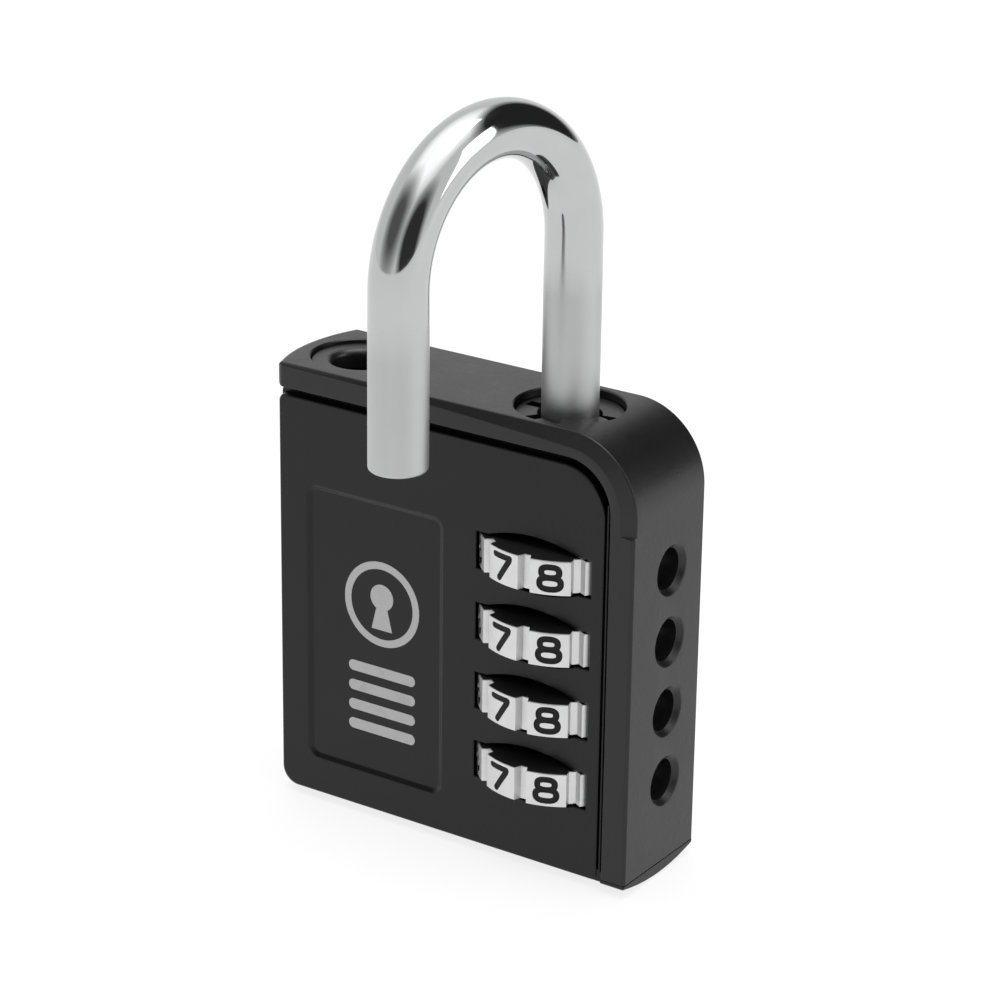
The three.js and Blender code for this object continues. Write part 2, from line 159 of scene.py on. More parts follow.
def piece_from(name, vertices, faces):
    """A piece of the scene from its vertices and faces, with all its faces turned outwards."""
    mesh = bpy.data.meshes.new(name)
    mesh.from_pydata(vertices, [], faces)
    work = bmesh.new()
    work.from_mesh(mesh)
    bmesh.ops.recalc_face_normals(work, faces=work.faces)
    work.to_mesh(mesh)
    work.free()
    made = bpy.data.objects.new(name, mesh)
    bpy.context.scene.collection.objects.link(made)
    return made


FLOOR_REACH, FLOOR_DROP, FLOOR_GLOW = 6, 1.1, 0.82
FLOOR_GREYS = ((0.17, 0.17, 0.17), (0.19, 0.19, 0.19))
floor_z = at(0, 0, -FLOOR_DROP).z
floor_corners = ((-1, -1), (1, -1), (1, 1), (-1, 1))
floor = piece_from(
    "floor",
    [Vector((x * FLOOR_REACH, y * FLOOR_REACH, floor_z)) for x, y in floor_corners],
    [(0, 1, 2, 3)],
)
floor.data.materials.append(material(
    "floor_white",
    lambda place: {"Base Color": place.noise(scale=40).mixed(*FLOOR_GREYS)},
    Roughness=0.9,
    Specular_IOR_Level=0.1,
    Emission_Color=(1, 1, 1, 1),
    Emission_Strength=FLOOR_GLOW,
))

# Each dark gap: its azimuth, its elevation, its half width and its soft edge in degrees, its depth.
DARK_GAPS = ((66, 27, 27, 12, 0.97), (-38, 10, 22, 16, 0.95), (-112, 30, 15, 26, 0.85))
CEILING_FROM, CEILING_TO = 0.68, 0.9
CEILING_GLOW, HORIZON_GLOW = 1.9, 0.9
world = bpy.data.worlds.new("studio")
world.use_nodes = True
sky = Wire(world.node_tree).node("TexCoord", output=0)
ceiling = ((sky.part(2) - CEILING_FROM) * (1 / (CEILING_TO - CEILING_FROM))).clamped()
glow = ceiling * (CEILING_GLOW - HORIZON_GLOW) + HORIZON_GLOW
for azimuth, elevation, half_width, soft_edge, depth in DARK_GAPS:
    a, e = math.radians(azimuth), math.radians(elevation)
    heart = (math.cos(a) * math.cos(e), math.sin(a) * math.cos(e), math.sin(e))
    near = sky.node("VectorMath", {"operation": "DOT_PRODUCT"}, {0: sky, 1: heart}, output=1)
    inner, outer = (math.cos(math.radians(edge)) for edge in (half_width, half_width + soft_edge))
    glow = glow * (1 - ((near - outer) * (depth / (inner - outer))).clamped(depth))
background = world.node_tree.nodes["Background"]
world.node_tree.links.new(glow.socket, background.inputs["Color"])
bpy.context.scene.world = world


def soft_box(name, place, aim, size, power):
    """A rectangular lamp, aimed at a point. The camera doesn't see it, but the chrome does."""
    light = bpy.data.lights.new(name, "AREA")
    light.shape = "RECTANGLE"
    light.size, light.size_y = size
    light.energy = power
    lamp = bpy.data.objects.new(name, light)
    lamp.location = place
    lamp.rotation_euler = (aim - place).to_track_quat("-Z", "Y").to_euler()
    lamp.visible_camera = False
    bpy.context.scene.collection.objects.link(lamp)


subject = at(CASE_WIDTH / 2, MIDDLE, CASE_HEIGHT / 2)
soft_box("top_box", subject + Vector((0.1, 0.05, 0.8)), subject, (0.5, 0.5), 2.4)
soft_box("right_box", subject + Vector((0.75, 0.35, 0.3)), subject, (0.3, 0.5), 1.2)

# ---------------------------------------------------------------------------------------------
# Case frame: one zinc die casting, powder coated black. Its L-shaped rim is the flat top and the
# right side, with a facet along the front edge that widens round the corner; its web carries the
# dials. The seats for the two guide bushings and the four side ports are machined after casting.
# Sizes are in millimetres. Heights are from the case's lower edge, depths from its front face.
# ---------------------------------------------------------------------------------------------
TOP_RIM, SIDE_RIM = 2.75, 2.9
CORNER_RADIUS = 8.2
ARC_X, ARC_Z = CASE_WIDTH - CORNER_RADIUS, CASE_HEIGHT - CORNER_RADIUS
SIDE_BULGE, BOTTOM_BULGE = 1.45, 0.95
FRAME_FOOT = 0.5
FOOT_ROUNDING = 0.1
FACET_WIDTH, FACET_DROP, FACET_END = 1.65, 0.5, 39.6
FACET_GROWTH, FACET_STOP = 1.7, 0.12
PLAIN_EDGE, END_ROUNDING = 0.28, 0.7
RIM_CORNERS = (0.14, 0.25, 0.22, 0.2, 0.2, 0.14)
RIM_STATIONS, SIDE_STATION = (3, 7, 12, 17, 22, 27, 32), 20
EASE_ANGLES = (0, 18, 36, 54, 72, 90)
ARC_STEPS = 28
PAST = 1  # how far a cutter runs out past the face that it opens
AXIS_X = 32.6
TOE_X = 5.9
TOP_DIAL, DIAL_PITCH = 33.8, 8
DIAL_HEIGHTS = [TOP_DIAL - DIAL_PITCH * i for i in range(4)]
PORT_DEPTH = 7.7
# A port's section, as radius and distance out from the right side: bore, chamfer and eased mouth.
PORT_STEPS = ((2.3, -6.4), (2.3, -0.62), (2.42, -0.56), (2.75, -0.1), (2.95, 0.02), (3.25, 0.3))
HEEL_SEAT, TOE_SEAT, SEAT_FLOOR = 5.85, 5.4, 46.7
SEAT_EDGE, SEAT_FLARE = 0.14, 0.4
KEY_TAB_FROM, KEY_TAB_TO, KEY_TAB_INSIDE, KEY_TAB_DROP = -68, -15, 4.5, 0.08
WEB_FRONT, WEB_SIDE, WEB_LAP, WEB_SHOULDER, WEB_TOP = 2.3, 1.5, 0.5, 40, 47.5
POCKET_RADIUS, POCKET_HEIGHT = 9.6, 4.4
SLEEVE_BORE, SLEEVE_BORE_RISE = 5.7, 4.15
LEG_BORE, LEG_BORE_FLOOR = 4.4, 10
TOE_HOLE, TOE_HOLE_FLOOR = 3.4, 42.5


def bulge(depth):
    """How far the bulging sides stand out at one depth, from 0 at the faces to 1 at the middle."""
    return 1 - ((depth - MIDDLE) / MIDDLE) ** 2


def rounded(corners, radii, steps=3):
    """A closed outline with each corner rounded by its own radius."""
    points = []
    for k, here in enumerate(corners):
        before = (corners[k - 1] - here).normalized()
        after = (corners[(k + 1) % len(corners)] - here).normalized()
        half = before.angle(after) / 2
        centre = here + (before + after).normalized() * (radii[k] / math.sin(half))
        start = here + before * (radii[k] / math.tan(half)) - centre
        end = here + after * (radii[k] / math.tan(half)) - centre
        points += [centre + start.lerp(end, s / steps).normalized() * radii[k] for s in range(steps + 1)]
    return points


def loft(name, rings):
    """A closed skin through rings of points that all have the same count."""
    count = len(rings[0])
    faces = []
    for first in range(0, (len(rings) - 1) * count, count):
        for k in range(count):
            step = (k + 1) % count
            faces.append((first + k, first + step, first + count + step, first + count + k))
    last = (len(rings) - 1) * count
    faces.append(tuple(reversed(range(count))))
    faces.append(tuple(range(last, last + count)))
    return piece_from(name, [point for ring in rings for point in ring], faces)


def combine(body, operation, *tools):
    """Joins tools to a body or cuts them out of it, and removes the tools."""
    for tool in tools:
        step = body.modifiers.new("step", "BOOLEAN")
        step.operation = operation
        step.solver = "EXACT"
        step.object = tool
        graph = bpy.context.evaluated_depsgraph_get()
        mesh = bpy.data.meshes.new_from_object(body.evaluated_get(graph))
        body.modifiers.clear()
        body.data = mesh
        bpy.data.objects.remove(tool)
    return body


def block(xs, ys, zs):
    ring = [(xs[0], ys[0]), (xs[1], ys[0]), (xs[1], ys[1]), (xs[0], ys[1])]
    return loft("tool", [[at(x, y, z) for x, y in ring] for z in zs])


def turned(name, x, y, steps, sides=64):
    """A turned shape on a vertical axis, from its (radius, height) steps."""
    turns = [2 * math.pi * k / sides for k in range(sides)]
    return loft(name, [[at(x + r * math.cos(a), y + r * math.sin(a), z) for a in turns] for r, z in steps])


def turned_across(y, z, steps, sides=48):
    """The same on an axis along X, from (radius, x) steps."""
    turns = [2 * math.pi * k / sides for k in range(sides)]
    return loft("tool", [
        [at(x, y + r * math.cos(a), z + r * math.sin(a)) for a in turns] for r, x in steps])


def turned_deep(x, z, radius, ys, sides=96):
    """A disc on an axis along Y."""
    turns = [2 * math.pi * k / sides for k in range(sides)]
    outline = [(x + radius * math.cos(a), z + radius * math.sin(a)) for a in turns]
    return loft("tool", [[at(x, y, z) for x, z in outline] for y in ys])


def finish_piece(piece, surface, body, slot, sharp=32, *nodes):
    """Shading, material and the piece's place in the frame."""
    piece.data.shade_smooth()
    piece.data.set_sharp_from_angle(angle=math.radians(sharp))
    normals = piece.modifiers.new("flat_faces", "WEIGHTED_NORMAL")
    normals.keep_sharp = True
    piece.data.materials.clear()
    piece.data.materials.append(surface)
    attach(piece, body)
    if nodes:
        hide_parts(*nodes)
    return piece


def rim_profile(width, drop, thickness):
    """The rim's section, as depth from the front and distance in from the outside."""
    corners = [Vector(c) for c in (
        (0, thickness), (0, width), (drop, 0),
        (CASE_DEPTH - PLAIN_EDGE, 0), (CASE_DEPTH, PLAIN_EDGE), (CASE_DEPTH, thickness))]
    section = rounded(corners, RIM_CORNERS)
    half = len(section) // 2
    across = [2 + 10 * k / 12 for k in range(13)]
    outer, inner = [[Vector((y, z)) for y in across] for z in (0, thickness)]
    return section[:half] + outer + section[half:] + inner[::-1]


def rim_ring(outside, inward, facet, thickness, inset=0.0, along=None):
    """One section of the rim. facet is how much of its full width the front facet has here, and
    along moves the section along the top, with the bulge of the left side."""
    width = PLAIN_EDGE + (FACET_WIDTH - PLAIN_EDGE) * facet
    drop = PLAIN_EDGE + (FACET_DROP - PLAIN_EDGE) * facet
    ring = []
    for depth, inside in rim_profile(width, drop, thickness):
        depth = min(max(depth, inset), CASE_DEPTH - inset)
        inside = min(max(inside, inset), thickness - inset)
        x, z = Vector(outside) + Vector(inward) * inside
        if along is not None:
            x = along - SIDE_BULGE * bulge(depth)
        ring.append(at(x, depth, z))
    return ring


def case_rim():
    """The L-shaped rim, swept from the left end of the top to the foot of the right side."""
    turns = [math.radians(a) for a in EASE_ANGLES]
    ease = [(1 - math.sin(turn), 1 - math.cos(turn)) for turn in turns]
    rings = [
        rim_ring((0, CASE_HEIGHT), (0, -1), 0, TOP_RIM, r * END_ROUNDING, a * END_ROUNDING)
        for r, a in ease
    ]
    for x in (*RIM_STATIONS, ARC_X - 1):
        rings.append(rim_ring((x, CASE_HEIGHT), (0, -1), (x / ARC_X) ** FACET_GROWTH, TOP_RIM))
    for step in range(ARC_STEPS + 1):
        turn = math.radians(90 * (1 - step / ARC_STEPS))
        out = Vector((math.cos(turn), math.sin(turn)))
        thickness = TOP_RIM + (SIDE_RIM - TOP_RIM) * step / ARC_STEPS
        rings.append(rim_ring(Vector((ARC_X, ARC_Z)) + out * CORNER_RADIUS, -out, 1, thickness))
    for z, facet in ((FACET_END, 1), (FACET_END - FACET_STOP, 0), (SIDE_STATION, 0)):
        rings.append(rim_ring((CASE_WIDTH, z), (-1, 0), facet, SIDE_RIM))
    for r, a in reversed(ease):
        foot = (CASE_WIDTH, FRAME_FOOT + a * FOOT_ROUNDING)
        rings.append(rim_ring(foot, (-1, 0), 0, SIDE_RIM, r * FOOT_ROUNDING))
    return loft("case_frame_casting", rings)


def key_tab(zs, gap=0, spread=0):
    """The tab that reaches in over the heel seat from the front right, or a larger copy of it."""
    first, last = KEY_TAB_FROM - spread, KEY_TAB_TO + spread
    turns = [math.radians(first + (last - first) * k / 12) for k in range(13)]
    inside, outside = KEY_TAB_INSIDE - gap, HEEL_SEAT + PAST
    outline = [(inside, a) for a in turns] + [(outside, a) for a in reversed(turns)]
    outline = [(AXIS_X + r * math.cos(a), MIDDLE + r * math.sin(a)) for r, a in outline]
    return loft("tool", [[at(x, y, z) for x, y in outline] for z in zs])


def seat_cutter(x, radius):
    """A flat-bottomed seat with a fine broken edge at its mouth."""
    mouth = radius + SEAT_EDGE
    steps = [(radius, SEAT_FLOOR), (radius, CASE_HEIGHT - SEAT_EDGE), (mouth, CASE_HEIGHT),
             (mouth + SEAT_FLARE, CASE_HEIGHT + SEAT_FLARE)]
    return turned("tool", x, MIDDLE, steps, 96)


casting = case_rim()
web_depths = (WEB_FRONT, CASE_DEPTH - WEB_FRONT)
combine(casting, "UNION",
        block((WEB_SIDE, CASE_WIDTH - SIDE_RIM + WEB_LAP), web_depths, (WEB_SIDE, ARC_Z)),
        block((WEB_SIDE, ARC_X), web_depths, (WEB_SHOULDER, WEB_TOP)),
        turned_deep(ARC_X, ARC_Z, WEB_TOP - ARC_Z, web_depths))
port = [(radius, CASE_WIDTH + out) for radius, out in PORT_STEPS]
for z in DIAL_HEIGHTS:
    pocket = (z - POCKET_HEIGHT / 2, z + POCKET_HEIGHT / 2)
    combine(casting, "DIFFERENCE",
            turned("tool", AXIS_X, MIDDLE, [(POCKET_RADIUS, end) for end in pocket], 96),
            block((AXIS_X - POCKET_RADIUS, CASE_WIDTH - SIDE_RIM), (MIDDLE, CASE_DEPTH - 1), pocket),
            turned_across(PORT_DEPTH, z, port))
tab = key_tab((SEAT_FLOOR - PAST, CASE_HEIGHT - KEY_TAB_DROP))
bore_top = SEAT_FLOOR + 0.5
combine(casting, "DIFFERENCE",
        combine(seat_cutter(AXIS_X, HEEL_SEAT), "DIFFERENCE", tab),
        seat_cutter(TOE_X, TOE_SEAT),
        turned("tool", AXIS_X, MIDDLE, [(SLEEVE_BORE, 0), (SLEEVE_BORE, TOP_DIAL + SLEEVE_BORE_RISE)]),
        turned("tool", AXIS_X, MIDDLE, [(LEG_BORE, LEG_BORE_FLOOR), (LEG_BORE, bore_top)]),
        turned("tool", TOE_X, MIDDLE, [(TOE_HOLE, TOE_HOLE_FLOOR), (TOE_HOLE, bore_top)]))


def powder_coat(place):
    grain = place.noise(scale=2600, detail=2)
    cloud = place.noise(scale=160, detail=4)
    rubbed = ((place.noise(scale=420, detail=5) - 0.56) * 6).clamped()
    return {
        "Base Color": cloud.mixed((0.004, 0.004, 0.0042), (0.008, 0.008, 0.0082)),
        "Roughness": 0.27 + cloud * 0.1 + grain * 0.08 - rubbed * 0.05,
        "Normal": (grain + place.noise(scale=700, detail=3) * 0.8).bump(distance=0.00004, strength=0.35),
    }


case_coating = material("case_powder_coat", powder_coat, Specular_IOR_Level=0.42)
finish_piece(casting, case_coating, "case", "case_coating", 32, "case_frame")

# ---------------------------------------------------------------------------------------------
# Covers: two black moulded shells, set into the rim from the front and the back and meeting on a
# fine line round the bulging left and bottom sides. Each has a window for every dial, with an eye-
# shaped scoop for the thumb, and a groove and a hairline rib along the rim.
# ---------------------------------------------------------------------------------------------
PANEL_RECESS, PANEL_BACK = 0.45, 1.95
TOP_GROOVE, SIDE_GROOVE, GROOVE_DEPTH = 0.95, 0.85, 1.15
COVER_GAP, COVER_WALL = 0.22, 1.2
PARTING, PARTING_EASE = MIDDLE - 0.01, 0.03
LAYER_DEPTHS = (2, 3, 4, 5, 6)
PANEL_EDGE, FLANGE_EDGE = 0.22, 0.08
OUTER_FOOT_RADIUS, INNER_FOOT_RADIUS, TOP_LEFT_RADIUS = 2, 0.5, 0.9
UNDER_RIM_LEFT, UNDER_RIM_GAP, UNDER_RIM_EASE, UNDER_RIM_END = 42.0, 0.08, 0.12, 0.03
UNDER_RIM_DEPTHS = (0.1, 0.22, 0.5, 0.9, 1.3, 3, 4.5, 6, PARTING)
WINDOW_SIDE, WINDOW_EDGE, WINDOW_BREAK = 7.1, 2.075, 0.1
SCOOP_HALF, SCOOP_RISE = 5.45, 1.0
RIB_SIDES, RIB_HEIGHTS, RIB_EDGE = (41.64, 41.88), (1.2, 42.5), 0.06
RIB_FRONT, RIB_ROOT = 0.22, 1.7
FILLER_LEFT, FILLER_FRONT, FILLER_FOOT = 41, 0.6, -0.12


def cover_ring(depth, top_margin, side_margin, inset):
    """A cover's outline at one depth, less an inset. It follows the bulging left and bottom sides."""
    left = inset - SIDE_BULGE * bulge(depth)
    bottom = inset - BOTTOM_BULGE * bulge(depth)
    right = CASE_WIDTH - SIDE_RIM - side_margin - inset
    top = CASE_HEIGHT - TOP_RIM - top_margin - inset
    corners = [Vector(c) for c in ((left, bottom), (right, bottom), (right, top), (left, top))]
    corner_radius = CORNER_RADIUS - SIDE_RIM - inset
    return rounded(corners, (OUTER_FOOT_RADIUS, INNER_FOOT_RADIUS, corner_radius, TOP_LEFT_RADIUS), 12)


def cover_layer(front_depth, top_margin, side_margin, edge, place):
    """A solid from one depth back to the parting line, with a rounded front edge."""
    ease = [math.radians(a) for a in (0, 22, 45, 67, 90)]
    levels = [(front_depth + edge * (1 - math.cos(a)), edge * (1 - math.sin(a))) for a in ease]
    levels += [(depth, 0) for depth in (*LAYER_DEPTHS, PARTING - PARTING_EASE)]
    levels.append((PARTING, PARTING_EASE))
    return loft("layer", [
        [place(x, depth, z) for x, z in cover_ring(depth, top_margin, side_margin, inset)]
        for depth, inset in levels])


def under_rim(place):
    """The part of the bottom wall that runs on under the frame's foot."""
    rings = []
    top = FRAME_FOOT - UNDER_RIM_GAP
    for depth in UNDER_RIM_DEPTHS:
        ease = UNDER_RIM_EASE if depth == UNDER_RIM_DEPTHS[0] else 0
        left = UNDER_RIM_LEFT if depth < 1 else UNDER_RIM_LEFT - 1.5
        right = CASE_WIDTH - UNDER_RIM_END
        bottom = -BOTTOM_BULGE * bulge(depth)
        rings.append([place(x, depth, z) for x, z in (
            (left, bottom + ease), (right - 0.22, bottom + ease), (right - ease, bottom + 0.2),
            (right - ease, top - 0.02), (right - 0.07, top), (left, top))])
    return loft("foot", rings)


def window_outline(z, outset):
    """A window's outline: a rectangle with a flat arc bulging from its top and its bottom."""
    half, side, edge = SCOOP_HALF + outset, WINDOW_SIDE + outset, WINDOW_EDGE + outset
    radius = (half ** 2 + SCOOP_RISE ** 2) / (2 * SCOOP_RISE)
    sweep = math.asin(half / radius)
    arc = [sweep * (k / 12 - 1) for k in range(25)]
    lower = [(radius * math.sin(a), radius * (1 - math.cos(a)) - edge - SCOOP_RISE) for a in arc]
    points = [(-side, -edge), *lower, (side, -edge), (side, edge)]
    points += [(-x, -y) for x, y in lower] + [(-side, edge)]
    return [(AXIS_X + x, z + y) for x, y in points]


def dial_window(z, place):
    """The cutter for one window, wider at the panel's face by a broken edge."""
    mouth = WINDOW_BREAK + 0.02
    levels = [(-PAST, mouth), (PANEL_RECESS - 0.02, mouth), (PANEL_RECESS + WINDOW_BREAK, 0),
              (PANEL_BACK + PAST, 0)]
    return loft("tool", [
        [place(x, depth, y) for x, y in window_outline(z, outset)] for depth, outset in levels])


def cover(name, place):
    """A whole cover. place(x, depth, z) puts it at the front or, mirrored, at the back."""
    body = cover_layer(PANEL_RECESS, TOP_GROOVE, SIDE_GROOVE, PANEL_EDGE, place)
    body.name = name
    flange = cover_layer(PANEL_RECESS + GROOVE_DEPTH, COVER_GAP, COVER_GAP, FLANGE_EDGE, place)
    left, right = RIB_SIDES
    shoulder = RIB_FRONT + RIB_EDGE
    section = ((left, RIB_ROOT), (left, shoulder), (left + RIB_EDGE, RIB_FRONT),
               (right - RIB_EDGE, RIB_FRONT), (right, shoulder), (right, RIB_ROOT))
    rib = loft("rib", [[place(x, depth, z) for x, depth in section] for z in RIB_HEIGHTS])
    section = ((FILLER_LEFT, RIB_ROOT), (FILLER_LEFT, FILLER_FRONT),
               (right, FILLER_FRONT), (right, RIB_ROOT))
    heights = (FILLER_FOOT, RIB_HEIGHTS[0])
    filler = loft("filler", [[place(x, depth, z) for x, depth in section] for z in heights])
    combine(body, "UNION", flange, under_rim(place), rib, filler)
    ys = (place(0, PANEL_BACK, 0).y, place(0, MIDDLE + PAST, 0).y)
    near, far = COVER_WALL, CASE_WIDTH + 15
    room = [at(x, 0, z) for x, z in ((near, near), (far, near), (far, far), (near, far))]
    combine(body, "DIFFERENCE", loft("hollow", [[Vector((p.x, y, p.z)) for p in room] for y in ys]))
    for z in DIAL_HEIGHTS:
        steps = [(POCKET_RADIUS, z - WINDOW_EDGE), (POCKET_RADIUS, z + WINDOW_EDGE)]
        combine(body, "DIFFERENCE", dial_window(z, place), turned("tool", AXIS_X, MIDDLE, steps, 96))
    return body


def moulded_black(place):
    cloud = place.noise(scale=220, detail=4)
    wipe = place.noise(scale=90, detail=6, stretch=(1, 1, 0.25))
    scuff = ((place.noise(scale=900, detail=6, stretch=(1, 1, 0.3)) - 0.6) * 8).clamped()
    skin = place.noise(scale=1500, detail=3) + place.noise(scale=300, detail=2)
    return {
        "Base Color": cloud.mixed((0.003, 0.003, 0.0031), (0.006, 0.006, 0.0061)),
        "Roughness": 0.2 + wipe * 0.12 + scuff * 0.05,
        "Normal": skin.bump(distance=0.00002, strength=0.25),
    }


cover_gloss = material("moulded_black_gloss", moulded_black, Specular_IOR_Level=0.3)
front_cover = cover("front_cover_shell", at)
back_cover = cover("back_cover_shell", lambda x, depth, z: at(x, CASE_DEPTH - depth, z))
finish_piece(back_cover, cover_gloss, "case", "cover_gloss", 32, "back_cover")

# ---------------------------------------------------------------------------------------------
# Label recess: a shallow field with soft walls, moulded in the front cover. A plain keyhole sign
# and four bars, one for each dial, are pad-printed on its floor in silver grey.
# ---------------------------------------------------------------------------------------------
LABEL_LEFT, LABEL_RIGHT, LABEL_BOTTOM, LABEL_TOP = 3.35, 21.45, 3.95, 36.4
LABEL_RADIUS, LABEL_DEPTH, LABEL_WALL, WALL_STEPS = 1.5, 0.32, 0.75, 10
PRINT_X, PRINT_THICKNESS = 13.2, 0.02
SIGN_HEIGHT, SIGN_RADIUS, SIGN_LINE = 24.4, 4.9, 0.85
KEYHOLE_EYE, KEYHOLE_RISE, KEYHOLE_NECK, KEYHOLE_FOOT, KEYHOLE_DROP = 1.5, 0.8, 0.6, 1.35, 3.0
BAR_TOP, BAR_PITCH, BAR_HALF_LENGTH, BAR_HALF_HEIGHT = 16.4, 2.3, 4.4, 0.62


def label_ring(inset, depth):
    """The recess's outline at one depth, less an inset."""
    left, right = LABEL_LEFT + inset, LABEL_RIGHT - inset
    bottom, top = LABEL_BOTTOM + inset, LABEL_TOP - inset
    corners = [Vector(c) for c in ((left, bottom), (right, bottom), (right, top), (left, top))]
    return [at(x, depth, z) for x, z in rounded(corners, [LABEL_RADIUS - inset] * 4, 10)]


mouth = -0.05
label_levels = [(mouth, PANEL_RECESS - 0.3), (mouth, PANEL_RECESS - 0.001)]
for k in range(1, WALL_STEPS + 1):
    fall = 0.5 - 0.5 * math.cos(math.pi * k / WALL_STEPS)
    label_levels.append((LABEL_WALL * k / WALL_STEPS, PANEL_RECESS + LABEL_DEPTH * fall))
recess = loft("tool", [label_ring(inset, depth) for inset, depth in label_levels])
combine(front_cover, "DIFFERENCE", recess)
finish_piece(front_cover, cover_gloss, "case", "cover_gloss", 32, "front_cover")
label_floor = PANEL_RECESS + LABEL_DEPTH


def printed(name, outline):
    """A flat printed mark on the recess's floor, from an outline in x and z."""
    depths = (label_floor + 0.01, label_floor - PRINT_THICKNESS)
    return loft(name, [[at(PRINT_X + x, depth, z) for x, z in outline] for depth in depths])


def circle(x, z, radius, sides=48):
    turns = [2 * math.pi * k / sides for k in range(sides)]
    return [(x + radius * math.cos(a), z + radius * math.sin(a)) for a in turns]


inner = circle(0, SIGN_HEIGHT, SIGN_RADIUS - SIGN_LINE, 72)
sign = combine(printed("label_print", circle(0, SIGN_HEIGHT, SIGN_RADIUS, 72)), "DIFFERENCE",
               loft("tool", [[at(PRINT_X + x, depth, z) for x, z in inner] for depth in (-1, 1)]))
foot = SIGN_HEIGHT - KEYHOLE_DROP
neck = [(-KEYHOLE_NECK, SIGN_HEIGHT), (KEYHOLE_NECK, SIGN_HEIGHT),
        (KEYHOLE_FOOT, foot), (-KEYHOLE_FOOT, foot)]
eye = circle(0, SIGN_HEIGHT + KEYHOLE_RISE, KEYHOLE_EYE)
combine(sign, "UNION", printed("eye", eye), printed("neck", neck))
for k in range(4):
    z = BAR_TOP - BAR_PITCH * k
    low, high = z - BAR_HALF_HEIGHT, z + BAR_HALF_HEIGHT
    far = BAR_HALF_LENGTH
    ends = [Vector(c) for c in ((-far, low), (far, low), (far, high), (-far, high))]
    combine(sign, "UNION", printed("bar", rounded(ends, [BAR_HALF_HEIGHT * 0.95] * 4, 6)))


def silver_ink(place):
    speck = place.noise(scale=3200, detail=4)
    worn = ((place.noise(scale=500, detail=6) - 0.58) * 10).clamped()
    return {
        "Base Color": (speck * 0.6 + worn * 0.4).mixed((0.5, 0.5, 0.5), (0.4, 0.4, 0.4)),
        "Roughness": 0.42 + speck * 0.15,
        "Normal": speck.bump(distance=0.00002, strength=0.3),
    }


finish_piece(sign, material("silver_print", silver_ink, Metallic=0.25), "case", "cover_gloss")

# ---------------------------------------------------------------------------------------------
# Guide bushings: two rings of black-coated steel pressed into seats in the top. The heel bushing is
# slotted for the shackle's fins and keyed by the tab in its seat; the toe bushing has a rounded
# lead-in for the short leg.
# ---------------------------------------------------------------------------------------------
BUSHING_TOP, BUSHING_BOTTOM, BUSHING_BORE = 48.6, 46.95, 3.35
TOE_TOP, TOE_BORE = 49.05, 3.12
BUSHING_EDGE, BUSHING_FIT = 0.14, 0.1
HEEL_LEAD_IN, TOE_LEAD_IN = 0.15, 0.75
NOTCH_ANGLES, NOTCH_REACH, NOTCH_WIDTH = (180, 10, 236), 5.15, 1.3
KEY_GAP, KEY_SPREAD = 0.15, 2


def bushing(name, x, outside, top, bore_radius, lead_in):
    """A ring with a broken outer edge and a quarter-round lead-in to its bore."""
    edge, soft = BUSHING_EDGE, BUSHING_EDGE * 0.3
    steps = [(outside, BUSHING_BOTTOM), (outside, top - edge), (outside - soft, top - soft),
             (outside - edge, top)]
    bore = [(bore_radius, BUSHING_BOTTOM - PAST)]
    for k in range(9):
        a = math.radians(10 * k + 5)
        bore.append((bore_radius + lead_in * (1 - math.cos(a)), top - lead_in * (1 - math.sin(a))))
    bore.append((bore_radius + lead_in + 0.01, top + PAST))
    return combine(turned(name, x, MIDDLE, steps, 96), "DIFFERENCE", turned("tool", x, MIDDLE, bore, 96))


def spoke(angle, reach, width, zs):
    """A block that reaches out from the long leg's axis."""
    out = Vector((math.cos(math.radians(angle)), math.sin(math.radians(angle))))
    aside = Vector((-out.y, out.x)) * (width / 2)
    near, far = out * reach[0], out * reach[1]
    ring = (near - aside, far - aside, far + aside, near + aside)
    return loft("spoke", [[at(AXIS_X + p.x, MIDDLE + p.y, z) for p in ring] for z in zs])


heel_outside, toe_outside = HEEL_SEAT - BUSHING_FIT, TOE_SEAT - BUSHING_FIT
heel_bushing = bushing("heel_bushing", AXIS_X, heel_outside, BUSHING_TOP, BUSHING_BORE, HEEL_LEAD_IN)
through = (BUSHING_BOTTOM - PAST, BUSHING_TOP + PAST)
combine(heel_bushing, "DIFFERENCE",
        *[spoke(angle, (2, NOTCH_REACH), NOTCH_WIDTH, through) for angle in NOTCH_ANGLES],
        key_tab(through, KEY_GAP, KEY_SPREAD))
toe_bushing = bushing("toe_bushing", TOE_X, toe_outside, TOE_TOP, TOE_BORE, TOE_LEAD_IN)
bushing_coating = material("bushing_black", powder_coat, Specular_IOR_Level=0.5)
finish_piece(heel_bushing, bushing_coating, "case", "bushing_coating", 32, "heel_guide_bushing")
finish_piece(toe_bushing, bushing_coating, "case", "bushing_coating", 32, "toe_guide_bushing")

# ---------------------------------------------------------------------------------------------
# Shackle: one 6 mm hardened steel bar, bent, then polished and chrome plated. The bend is a mirror,
# the straight legs are a little satin from grinding. Hidden in the case, the long leg has a clip
# groove and the four fins that the dials' sleeves let past.
# ---------------------------------------------------------------------------------------------
BAR_RADIUS, BEND_RADIUS = 3, 13.35
BEND_HEIGHT, TIP_HEIGHT, LEG_END = 67.8, 49.85, 10
SWING = math.radians(180 + 84.2)
CLIP_GROOVE, CLIP_GROOVE_RADIUS = (45.1, 46.5), 2.4
FIN_ANGLE, FIN_REACH, FIN_WIDTH, FIN_HEIGHT, FIN_RISE = 114.2, 3.75, 1.6, 1.5, 3
SPRING_BORE, SPRING_BORE_TOP = 2.1, 24
LEG_CHAMFER, TIP_EDGE, TIP_ANGLES = 0.4, 0.5, (90, 65, 40, 15)
LONG_LEG_STATIONS, SHORT_LEG_STATIONS = (55, 62), (62, 56)
BAR_SIDES, BEND_STEPS = 64, 64
